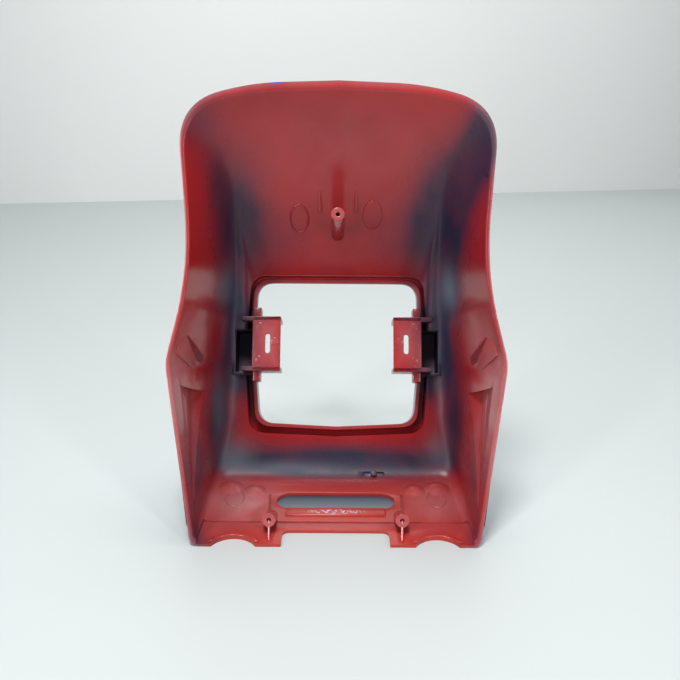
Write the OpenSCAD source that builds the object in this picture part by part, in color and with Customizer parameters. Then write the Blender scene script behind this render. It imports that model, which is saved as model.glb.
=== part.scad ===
// Headlight fairing of a small motorbike, one moulded shell standing on its floor.
// Millimetres. +X is the rider's right, +Y points to the front of the bike, +Z is up.
// Y = 0 is the rear edge of the floor and Z = 0 is the ground it stands on.

/* [Shell] */
// height of the top edge of the rim above the ground
overall_height = 314; // [300:1:330]
// thickness of the moulded wall
wall = 3; // [2.6:0.1:3.4]
// lean of the rim plane, top edge to the front
rim_lean = 15; // [13:0.5:17]
// visible width of the rim face along the top edge
rim_face_top = 5.4; // [4.6:0.1:6]
// elevation of the direction in which posts and flanges point to the rider
draw_tilt = 27; // [24:0.5:30]

/* [Rim] */
// half width of the rim where its top corners would meet the sides
top_half = 110.5; // [108:0.5:113]
// drop of the rim from the top edge to those corners
top_drop = 15; // [12:0.5:17]
// half width of the rim at the narrow waist
waist_half = 103; // [100:0.5:106]
// height of the waist above the ground
waist_height = 190; // [182:1:198]
// half width of the rim at the hips, its widest place
hip_half = 120.5; // [118:0.5:123]
// height of the hips above the ground
hip_height = 127; // [120:1:134]
// half width of the rim at its feet
foot_half = 103.5; // [101:0.5:106]

/* [Front wall] */
// distance from the rear edge to the foot of the front wall
floor_depth = 99; // [95:0.5:103]
// lean of the front wall, top edge to the front
front_lean = 14; // [12:0.5:16]
// half width of the front wall at the floor
front_half_low = 103; // [100:0.5:105]
// half width of the front wall at the hips
front_half_mid = 92; // [89:0.5:95]
// half width of the front at the waist
front_half_waist = 86; // [83:0.5:89]
// half width of the hood where it folds into the sides near its top
hood_half = 80; // [76:0.5:84]
// height of the fold line under the top edge of the hood
hood_height = 272; // [266:1:278]
// distance from the rear edge to the hood at that height
hood_depth = 106; // [102:0.5:110]
// size of the soft fold between the side walls and the front
side_fold = 26; // [22:1:30]
// size of the soft fold between the floor and the front
floor_fold = 22; // [18:1:26]

/* [Lamp opening] */
// half width of the lamp opening at mid height
lamp_half = 66.5; // [64:0.5:69]
// height of the top edge of the lamp opening above the ground
lamp_top = 159; // [156:0.5:162]
// height of the bottom edge of the lamp opening above the ground
lamp_bottom = 46; // [43:0.5:49]
// corner size of the lamp opening
lamp_corner = 13; // [10:0.5:16]
// width of the channel round the lamp opening
channel_width = 5; // [4:0.5:6]
// depth of the channel round the lamp opening
channel_depth = 15; // [12:0.5:18]

/* [Lamp brackets] */
// distance from the middle plane to the middle of a bracket plate
bracket_reach = 56.5; // [55:0.5:58]
// width of a bracket plate
bracket_width = 22.5; // [20:0.5:25]
// height of a bracket plate
bracket_height = 44; // [40:1:48]
// height of the middle of the brackets above the ground
bracket_rise = 114.5; // [111:0.5:118]
// distance from the front wall back to the middle of the brackets
bracket_stand_off = 17.5; // [15:0.5:20]
// length of the upright slot in a bracket plate
bracket_slot_length = 15.5; // [13:0.5:18]
// width of the upright slot in a bracket plate
bracket_slot_width = 3.8; // [3:0.1:4.6]

/* [Posts] */
// outer diameter of the screw posts
post_diameter = 9.8; // [9:0.1:10.6]
// diameter of the pilot bore in a screw post
post_bore = 3.2; // [2.6:0.1:3.8]
// depth of the pilot bore in a screw post
post_bore_depth = 16; // [12:1:18]
// distance between the two floor posts
post_spacing = 97; // [93:0.5:101]
// distance from the rear edge to the tip of a floor post
post_tip = 15; // [12:0.5:18]
// height of the tip of a floor post above the ground
post_rise = 12.5; // [11.5:0.5:14]
// height of the tip of the hood post above the ground
hood_post_rise = 224; // [220:1:228]
// distance from the rear edge to the tip of the hood post
hood_post_tip = 78; // [74:0.5:82]

/* [Floor] */
// distance between the two fork notches
notch_spacing = 146; // [142:0.5:150]
// radius of a fork notch
notch_radius = 18; // [16:0.5:19.5]
// length of the slot in the floor
slot_length = 92; // [86:1:98]
// width of the slot in the floor
slot_width = 23; // [20:0.5:25]
// distance from the rear edge to the middle of the slot
slot_middle = 57; // [54:0.5:60]
// half width of the recess between the tabs of the rear edge
recess_half = 39; // [36:0.5:42]
// depth of the recess between the tabs of the rear edge
recess_depth = 17.5; // [14.5:0.5:19.5]

/* [Side pockets] */
// how far the pocket in each side wall goes outward
pocket_depth = 7; // [5:0.5:8]
// height of the low end of the side pocket above the ground
pocket_low = 16; // [14:0.5:20]

/* [Hidden] */
corner_steps = 6;
fold_steps = 6;
shell_red = [0.62, 0.12, 0.12];
channel_top_width = 1.5;
channel_top_depth = 8;
rim_slope = tan(rim_lean);
front_slope = tan(front_lean);
draw = [0, -cos(draw_tilt), sin(draw_tilt)];

// A point moved from p toward q by the length s.
function toward(p, q, s) = p + (q - p) * s / norm([for (k = [0:2]) q[k] - p[k]]);
function bend(a, b, c, n) = [for (k = [0:n]) let (s = k / n)
    a * (1 - s) * (1 - s) + b * 2 * s * (1 - s) + c * s * s];
function middle(a, b) = (a + b) / 2;
function mirrored(p) = [for (k = [0:len(p) - 1]) k == 0 ? -p[0] : p[k]];

// Right half of a closed outline: straight edges with softened corners.
function half_outline(v, cut) = let (
    last = len(v) - 1,
    ins = [for (k = [1:last - 1]) toward(v[k], v[k - 1], cut[k])],
    outs = [for (k = [1:last - 1]) toward(v[k], v[k + 1], cut[k])])
    concat([v[0], middle(v[0], ins[0])],
        [for (k = [1:last - 1]) each concat(
            bend(ins[k - 1], v[k], outs[k - 1], corner_steps),
            [middle(outs[k - 1], k == last - 1 ? v[last] : ins[k])])],
        [v[last]]);
function outline(v, cut) = let (h = half_outline(v, cut), n = len(h))
    concat(h, [for (k = [n - 2:-1:1]) mirrored(h[k])]);

// Corner places of the rim, of the fold line and of the lamp opening, t thinner than outside.
function on_rim(x, z) = [x, z * rim_slope, z];
function rim_places(t) = let (top = overall_height - (t > 0 ? rim_face_top : 0)) [
    on_rim(0, top), on_rim(58, top - 2), on_rim(top_half - t, overall_height - top_drop - t),
    on_rim(waist_half - t, waist_height), on_rim(hip_half - t, hip_height),
    on_rim(foot_half - t, t), on_rim(0, t)];
rim_cuts = [0, 20, 32, 38, 9, 7, 0];
function front_y(z) = floor_depth + z * front_slope;
function fold_places(t) = [
    [0, hood_depth - t, hood_height - t, 34], [48, hood_depth - t, hood_height - t, 34],
    [hood_half - t, hood_depth + 2 - t, hood_height - 6 - t, side_fold],
    [front_half_waist - t, front_y(lamp_top) - 8 - t, waist_height, side_fold],
    [front_half_mid - t, front_y(hip_height) - t, hip_height - 6, side_fold],
    [front_half_low - t, floor_depth - t, t, floor_fold], [0, floor_depth - t, t, floor_fold]];
fold_cuts = [0, 12, 18, 24, 20, 12, 0];
function lamp_places(walls, channels, t) = [for (p = [
    [0, lamp_top, 0, 1, channel_top_width, channel_top_depth, 1],
    [lamp_half * 0.6, lamp_top, 0, 1, channel_top_width, channel_top_depth, 1],
    [lamp_half - 2, lamp_top, 1, 1, channel_top_width + 0.3, channel_top_depth + 1, 1.5],
    [lamp_half, lamp_top - 30, 1, 0, channel_width * 0.6, channel_depth - 2, channel_depth - 3],
    [lamp_half, lamp_bottom + 40, 1, 0, channel_width, channel_depth, channel_depth - 1],
    [lamp_half - 2.5, lamp_bottom, 1, -1, channel_width, channel_depth, channel_depth - 1],
    [0, lamp_bottom - 3, 0, -1, channel_width, channel_depth, channel_depth - 1]])
    let (grow = walls * wall + channels * p[4], z = p[1] + grow * p[3])
    [p[0] + grow * p[2], front_y(z) - t, z, p[5], p[6]]];
lamp_cuts = [0, 8, lamp_corner, 12, 12, lamp_corner, 0];
function lamp_line(walls, channels, t) = outline(lamp_places(walls, channels, t), lamp_cuts);
function place(p) = [p[0], p[1], p[2]];

// Rows of one skin, t inside the outer skin, from the rim to the edge of the channel.
function skin_rows(t) = let (
    r = outline(rim_places(t), rim_cuts),
    f = outline(fold_places(t), fold_cuts),
    e = lamp_line(t > 0 ? 1 : 2, 1, t),
    all = [for (k = [0:len(r) - 1]) k],
    fold = [for (k = all) let (p = place(f[k]), q = place(e[k]), s = f[k][3] - t)
        bend(toward(p, r[k], s), p, toward(p, q, min(s, norm(q - p) * 0.8)), fold_steps)])
    concat([r, [for (k = all) middle(r[k], fold[k][0])]],
        [for (j = [0:fold_steps]) [for (k = all) fold[k][j]]],
        [[for (k = all) middle(fold[k][fold_steps], place(e[k]))], [for (k = all) place(e[k])]]);
// A row of the channel: t deeper than its floor, or brought back toward the rider.
function channel_row(walls, channels, t, back) = [for (p = lamp_line(walls, channels, wall))
    place(p) + draw * (back ? p[4] - p[3] : -p[3] - t)];
rows = concat(skin_rows(wall),
    [channel_row(1, 1, 0, false), channel_row(1, 0, 0, false), channel_row(1, 0, 0, true),
     channel_row(0, 0, 0, true), channel_row(0, 0, wall, false), channel_row(2, 1, wall, false)],
    [for (r = [len(skin_rows(0)) - 1:-1:0]) skin_rows(0)[r]]);

module shell() {
    around = len(rows[0]);
    deep = len(rows);
    polyhedron([for (r = rows) each r],
        [for (r = [0:deep - 1], k = [0:around - 1]) let (
            a = r * around + k,
            b = r * around + (k + 1) % around,
            c = ((r + 1) % deep) * around + (k + 1) % around,
            d = ((r + 1) % deep) * around + k)
            each [[a, b, c], [a, c, d]]]);
}

// Turns local +Z into the draw direction at a given place.
module at_draw(p) {
    translate(p)
        rotate([90 - draw_tilt, 0, 0])
            children();
}

// A flat shape in the plane across the body, given as [y, z] places, t thick at x.
module upright(x, t, places) {
    translate([x - t / 2, 0, 0])
        rotate([90, 0, 90])
            linear_extrude(height = t)
                polygon(places);
}

// Inner skin of the side wall at a height z, s of the way from the rim to the front.
rib = 1.8;
function side_x(s, z) = (1 - s) * (foot_half + (hip_half - foot_half) * z / hip_height)
    + s * (front_half_low + (front_half_mid - front_half_low) * z / hip_height) - wall;
function side_place(side, s, z) = [side * side_x(s, z),
    (1 - s) * z * rim_slope + s * (front_y(z) - wall), z];

// Slope and inner skin of the hood between the fold line and the lamp opening.
hood_end = lamp_top + wall + 1.5;
hood_slope = (front_y(hood_end) - hood_depth) / (hood_height - wall - hood_end);
function hood_y(z) = hood_depth - wall + (hood_height - wall - z) * hood_slope;
module on_hood(x, z) {
    translate([x, hood_y(z), z])
        rotate([90 + atan(hood_slope), 0, 0])
            children();
}

module oval(length, width, height) {
    linear_extrude(height = height)
        polygon([for (k = [0:27]) [cos(k * 360 / 28) * width / 2, sin(k * 360 / 28) * length / 2]]);
}
oval_length = 24.5;
oval_width = 15;
oval_line = 1.1;
oval_height = 0.8;
module oval_ring() {
    difference() {
        translate([0, 0, -wall / 2])
            oval(oval_length, oval_width, wall / 2 + oval_height);
        translate([0, 0, -wall])
            oval(oval_length - 2 * oval_line, oval_width - 2 * oval_line, 2 * wall);
    }
}

// A screw post with its tip at p, its root cut off inside the wall by the children.
module post_body(p, length) {
    at_draw(p)
        translate([0, 0, -length])
            cylinder(h = length, d = post_diameter, $fn = 40);
}
module post_bore_cut(p) {
    at_draw(p)
        translate([0, 0, -post_bore_depth])
            cylinder(h = post_bore_depth + 1, d = post_bore, $fn = 32);
}
function floor_post(side) = [side * post_spacing / 2, post_tip, post_rise];
hood_post = [0, hood_post_tip, hood_post_rise];
post_radius = post_diameter / 2;
gusset_splay = 4;
gusset_length = 51;
root_step = 36;
root_rise = 52;
rib_low = hood_post_rise - 7;
rib_top = hood_post_rise + 13;
rib_high = 3.4;
hood_rib_reach = 13.7;
module floor_posts() {
    for (side = [-1, 1]) {
        intersection() {
            post_body(floor_post(side), post_rise / sin(draw_tilt) + post_radius);
            translate([-foot_half, 0, wall / 2])
                cube([2 * foot_half, floor_depth, post_rise * 2]);
        }
        translate([side * post_spacing / 2, post_tip, 0])
            rotate([0, 0, -side * gusset_splay])
                upright(0, rib, [[4 - post_tip, wall / 2], [4 - post_tip, wall],
                    [-2, post_rise - post_radius * 0.8], [5, post_rise + 1.5],
                    [gusset_length, wall + 0.3], [gusset_length, wall / 2]]);
    }
}
module hood_post_body() {
    intersection() {
        post_body(hood_post, root_rise + 12);
        on_hood(0, hood_post_rise - root_step / 2)
            translate([-20, -40, -wall / 2])
                cube([40, 80, 90]);
    }
    for (side = [-1, 1])
        upright(side * hood_rib_reach, rib, [[hood_y(rib_low) + wall / 2, rib_low],
            [hood_y(rib_low) - rib_high, rib_low + 1.5],
            [hood_y(rib_top) - 0.6, rib_top - 2], [hood_y(rib_top) + wall / 2, rib_top]]);
}
module ovals() {
    on_hood(-29.5, 213)
        oval_ring();
    on_hood(26.5, 216)
        translate([0, 0, -wall / 2])
            oval(oval_length, oval_width, wall / 2 + oval_height);
    for (side = [-1, 1])
        translate([side * 79, 60, wall])
            oval_ring();
}

// Lamp brackets: a slotted plate on two ribs, and the deep pocket beside it.
bracket_plate = 3;
bracket_stand = 24;
bracket_depth = front_y(bracket_rise) - bracket_stand_off;
pocket_wall = 2.5;
recess_width = 13;
recess_shift = -4.5;
recess_gap = 0.4;
recess_deep = 36;
recess_height = bracket_height - 10;
channel_outside = lamp_half + wall + channel_width + wall;
module bracket(side) {
    at_draw([side * bracket_reach, bracket_depth, bracket_rise]) {
        translate([-bracket_width / 2, -bracket_height / 2, -bracket_plate])
            cube([bracket_width, bracket_height, bracket_plate]);
        for (edge = [-1, 1]) {
            translate([side > 0 ? -bracket_width / 2 : bracket_reach - channel_outside + 1,
                edge * (bracket_height / 2 - rib), -bracket_stand])
                translate([0, -rib, 0])
                    cube([channel_outside - 1 - bracket_reach + bracket_width / 2,
                        2 * rib, bracket_stand]);
            translate([side * (lamp_half - bracket_reach - 2) - 3, edge * 25 - 5, -18])
                cube([6, 10, 13]);
        }
    }
}
module bracket_slots() {
    for (side = [-1, 1])
        at_draw([side * (bracket_reach - 1), bracket_depth, bracket_rise]) {
            translate([-bracket_slot_width / 2, -(bracket_slot_length - bracket_slot_width) / 2, -5])
                cube([bracket_slot_width, bracket_slot_length - bracket_slot_width, 8]);
            for (edge = [-1, 1])
                translate([0, edge * (bracket_slot_length - bracket_slot_width) / 2, -5])
                    cylinder(h = 8, d = bracket_slot_width, $fn = 32);
        }
}
module bracket_pockets(grow, mouth) {
    for (side = [-1, 1])
        at_draw([side * (lamp_half + wall + recess_gap + recess_width / 2), bracket_depth, bracket_rise])
            translate([-recess_width / 2 - grow, recess_shift - recess_height / 2 - grow,
                -recess_deep - grow])
                cube([recess_width + 2 * grow, recess_height + 2 * grow,
                    recess_deep - mouth + grow]);
}

// Side pockets: a wedge pressed outward between a ledge and a point near the foot.
pocket_top = 108;
pocket_front = 88;
pocket_edge = 0.8;
function wedge_places(side, grow, out, inward) = [
    side_place(side, 0.1 - grow / 60, pocket_low - grow) + side * [out, 0, 0],
    side_place(side, 0.13 - grow / 60, pocket_top + grow) + side * [out, 0, 0],
    side_place(side, 0.55 + grow / 60, pocket_front + grow) + side * [out, 0, 0],
    side_place(side, 0.45, pocket_front + 4)
        + side * [out + pocket_depth - pocket_edge, 0, 0],
    side_place(side, 0.22, 62) - side * [inward, 0, 0]];
module wedge(side, grow, out, inward) {
    polyhedron(wedge_places(side, grow, out, inward), side > 0
        ? [[0, 1, 3], [1, 2, 3], [2, 0, 3], [1, 0, 4], [2, 1, 4], [0, 2, 4]]
        : [[1, 0, 3], [2, 1, 3], [0, 2, 3], [0, 1, 4], [1, 2, 4], [2, 0, 4]]);
}

// Cuts through the floor and its rear edge.
notch_behind = 8.5;
recess_corner = 4;
floor_step = 0.9;
step_reach = 28;
module floor_cuts() {
    for (side = [-1, 1]) {
        translate([side * notch_spacing / 2, -notch_behind, -1])
            cylinder(h = wall + 6, r = notch_radius, $fn = 64);
        translate([side * (slot_length - slot_width) / 2, slot_middle, -1])
            cylinder(h = wall + 4, d = slot_width, $fn = 48);
        translate([side * (recess_half - recess_corner), recess_depth - recess_corner, -1])
            cylinder(h = wall + 6, r = recess_corner, $fn = 32);
    }
    translate([-(slot_length - slot_width) / 2, slot_middle - slot_width / 2, -1])
        cube([slot_length - slot_width, slot_width, wall + 4]);
    translate([-recess_half, -10, -1])
        cube([2 * recess_half, recess_depth + 10 - recess_corner, wall + 6]);
    translate([recess_corner - recess_half, 0, -1])
        cube([2 * (recess_half - recess_corner), recess_depth, wall + 6]);
}
module floor_rise() {
    translate([8 - slot_length / 2, slot_middle - slot_width / 2 - 10, wall / 2])
        cube([slot_length - 16, 10.5, wall / 2 + 1.4]);
    for (side = [-1, 1])
        intersection() {
            translate([side * notch_spacing / 2, -notch_behind, wall / 2])
                cylinder(h = wall / 2 + 0.9, r = notch_radius + 3, $fn = 64);
            translate([-foot_half, 2, 0])
                cube([2 * foot_half, floor_depth, 20]);
        }
}
slit_end = 5.5;
slit_width = 4;
slit_bar = 2.5;
slit_cut = wall / 2 - 0.3;
module at_slit() {
    translate([31, floor_depth - 6.5, 6.5])
        rotate([45, 0, 0])
            children();
}
module slit_nub() {
    at_slit()
        translate([0, 0, -wall / 2])
            cylinder(h = wall + 1, d = 5, $fn = 32);
}
module small_cuts() {
    at_slit()
        for (end = [-1, 1]) {
            translate([end * slit_end, 0, -slit_cut])
                cylinder(h = 2 * slit_cut, d = slit_width, $fn = 24);
            translate([end * (slit_end + slit_bar) / 2, 0, 0])
                cube([slit_end - slit_bar, slit_width, 2 * slit_cut], center = true);
        }
}

front_end = bracket_depth + (recess_deep + pocket_wall) * cos(draw_tilt)
    + (recess_height / 2 + recess_shift + pocket_wall) * sin(draw_tilt);
module fairing() {
    color(shell_red)
        translate([0, -front_end / 2, 0])
        difference() {
            union() {
                difference() {
                    union() {
                        shell();
                        bracket_pockets(pocket_wall, 17);
                        for (side = [-1, 1])
                            wedge(side, 4, wall + pocket_edge + 0.6, -1);
                    }
                    bracket_pockets(0, 4);
                    for (side = [-1, 1])
                        wedge(side, 0, pocket_edge, 24);
                    translate([4.5 - foot_half, -1, wall - floor_step])
                        cube([2 * foot_half - 9, step_reach + 1, wall]);
                }
                floor_posts();
                hood_post_body();
                ovals();
                floor_rise();
                slit_nub();
                for (side = [-1, 1])
                    bracket(side);
            }
            floor_cuts();
            bracket_slots();
            for (side = [-1, 1])
                post_bore_cut(floor_post(side));
            post_bore_cut(hood_post);
            small_cuts();
        }
}

fairing();
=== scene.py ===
import logging
import math
from dataclasses import dataclass, field
from enum import Enum, IntEnum
from typing import Sequence

import bpy
import numpy as np
from mathutils import Matrix, Vector


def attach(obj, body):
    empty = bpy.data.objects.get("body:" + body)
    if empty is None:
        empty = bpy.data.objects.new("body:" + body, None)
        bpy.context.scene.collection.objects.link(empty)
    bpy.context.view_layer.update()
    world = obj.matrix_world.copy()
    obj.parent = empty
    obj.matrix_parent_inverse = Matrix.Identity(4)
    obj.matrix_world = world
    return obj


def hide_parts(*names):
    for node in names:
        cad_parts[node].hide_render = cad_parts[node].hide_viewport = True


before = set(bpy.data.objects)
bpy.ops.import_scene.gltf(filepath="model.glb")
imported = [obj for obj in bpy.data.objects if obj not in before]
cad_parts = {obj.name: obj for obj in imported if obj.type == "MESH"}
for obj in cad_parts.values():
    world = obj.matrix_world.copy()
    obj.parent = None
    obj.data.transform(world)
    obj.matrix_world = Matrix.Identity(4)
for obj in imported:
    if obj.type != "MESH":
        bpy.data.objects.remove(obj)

LOG = logging.getLogger("fairing")
MM = 0.001
Place = np.ndarray
Row = list[Place]


class Side(Enum):
    """The two halves of the body."""

    LEFT = -1
    RIGHT = 1

    @property
    def word(self) -> str:
        """The side's word in the name of a piece."""
        return self.name.lower()


class Corner(IntEnum):
    """Numbers of the named corners of a section through the shell, from the rim inward."""

    RIM_INNER = 0
    FOLD_INNER = 1
    LAMP_INNER = 2
    FLANGE_BACK = 5
    FLANGE_EDGE = 6
    FOLD_OUTER = 10
    RIM_OUTER = 11


@dataclass(frozen=True)
class Sizes:
    """Driving sizes of the fairing in millimetres and degrees."""

    height: float = 314.0
    wall: float = 3.0
    rim_lean: float = 15.0
    rim_face: float = 5.4
    draw_tilt: float = 27.0
    top_half: float = 110.5
    top_drop: float = 15.0
    waist_half: float = 103.0
    waist_height: float = 190.0
    hip_half: float = 120.5
    hip_height: float = 127.0
    foot_half: float = 103.5
    floor_depth: float = 99.0
    front_lean: float = 14.0
    front_half_low: float = 103.0
    front_half_mid: float = 92.0
    front_half_waist: float = 86.0
    hood_half: float = 80.0
    hood_height: float = 272.0
    hood_depth: float = 106.0
    side_fold: float = 26.0
    floor_fold: float = 22.0
    lamp_half: float = 66.5
    lamp_top: float = 159.0
    lamp_bottom: float = 46.0
    lamp_corner: float = 13.0
    channel_width: float = 5.0
    channel_depth: float = 15.0
    channel_top_width: float = 1.5
    channel_top_depth: float = 8.0
    bracket_height: float = 44.0
    bracket_rise: float = 114.5
    bracket_stand_off: float = 17.5
    tub_wall: float = 2.5
    tub_width: float = 13.0
    tub_height: float = 34.0
    tub_shift: float = -4.5
    tub_deep: float = 36.0
    tub_gap: float = 0.4

    @property
    def bracket_depth(self) -> float:
        """Distance from the rear edge to the middle of the brackets."""
        return self.front_y(self.bracket_rise) - self.bracket_stand_off

    @property
    def shift(self) -> float:
        """Half the depth of the part, by which the shared frame's middle lies forward."""
        tilt = math.radians(self.draw_tilt)
        low = (self.tub_deep + self.tub_wall) * math.cos(tilt)
        high = (self.tub_height / 2 + self.tub_shift + self.tub_wall) * math.sin(tilt)
        return (self.bracket_depth + low + high) / 2

    @property
    def draw(self) -> Place:
        """Direction in which posts and flanges point to the rider."""
        tilt = math.radians(self.draw_tilt)
        return np.array([0.0, -math.cos(tilt), math.sin(tilt)])

    def front_y(self, z: float) -> float:
        """Distance from the rear edge to the front wall at height z."""
        return self.floor_depth + z * math.tan(math.radians(self.front_lean))

    @property
    def hood_slope(self) -> float:
        """Slope of the hood between its fold line and the lamp opening."""
        end = self.lamp_top + self.wall + 1.5
        return (self.front_y(end) - self.hood_depth) / (self.hood_height - self.wall - end)

    def hood_y(self, z: float) -> float:
        """Inner skin of the hood on the middle plane at height z."""
        return (self.hood_depth - self.wall
                + (self.hood_height - self.wall - z) * self.hood_slope)

    def side_place(self, side: int, s: float, z: float) -> Place:
        """Inner skin of a side wall.

        Args:
            side: -1 for left, 1 for right.
            s: Share of the way from the rim to the front wall.
            z: Height above the ground.

        Returns:
            The place in millimetres, before the shift to the shared frame.
        """
        if z > self.hip_height:
            share = (z - self.hip_height) / (self.waist_height - self.hip_height)
            rim = self.hip_half + (self.waist_half - self.hip_half) * share
            front = self.front_half_mid + (self.front_half_waist - self.front_half_mid) * share
        else:
            share = z / self.hip_height
            rim = self.foot_half + (self.hip_half - self.foot_half) * share
            front = self.front_half_low + (self.front_half_mid - self.front_half_low) * share
        y = ((1 - s) * z * math.tan(math.radians(self.rim_lean))
             + s * (self.front_y(z) - self.wall))
        return np.array([side * ((1 - s) * rim + s * front - self.wall), y, z])


SIZES = Sizes()
# Strength of the painted pale highlight along each rounded edge, standing for light caught there.
PAINTED_EDGE_HIGHLIGHTS: dict[Corner, float] = {
    Corner.RIM_INNER: 0.2, Corner.FLANGE_BACK: 0.3, Corner.FLANGE_EDGE: 0.6,
    Corner.RIM_OUTER: 1.0}
# Share of the painted sheen colour that the painted edge highlight reaches.
EDGE_HIGHLIGHT_SHARE = 0.38
SLIT_SIDE = 31.0


def toward(p: Place, q: Place, length: float) -> Place:
    """A place that lies the given length from p on the way to q."""
    return p + (q - p) * (length / max(float(np.linalg.norm((q - p)[:3])), 1e-9))


def bend(a: Place, b: Place, c: Place, steps: int) -> Row:
    """Places on the soft corner from a over b to c."""
    return [a * (1 - s) ** 2 + b * (2 * s * (1 - s)) + c * s * s
            for s in (k / steps for k in range(steps + 1))]


def outline(places: Sequence[Sequence[float]], cuts: Sequence[float], steps: int,
            between: int) -> Row:
    """A closed outline with softened corners.

    Args:
        places: Corners of the right half, from the top middle to the bottom middle.
        cuts: How far each corner's softening reaches along its edges.
        steps: Parts of each softened corner.
        between: Places added on each straight edge.

    Returns:
        Places all the way round, right half first.
    """
    v = [np.array(p, float) for p in places]
    half: Row = [v[0]]
    last = v[0]
    for k in range(1, len(v) - 1):
        start = toward(v[k], v[k - 1], cuts[k])
        end = toward(v[k], v[k + 1], cuts[k])
        half += [last + (start - last) * (j + 1) / (between + 1) for j in range(between)]
        half += bend(start, v[k], end, steps)
        last = end
    half += [last + (v[-1] - last) * (j + 1) / (between + 1) for j in range(between)]
    half.append(v[-1])
    flip = np.ones(len(v[0]))
    flip[0] = -1
    return half + [p * flip for p in half[-2:0:-1]]


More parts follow.
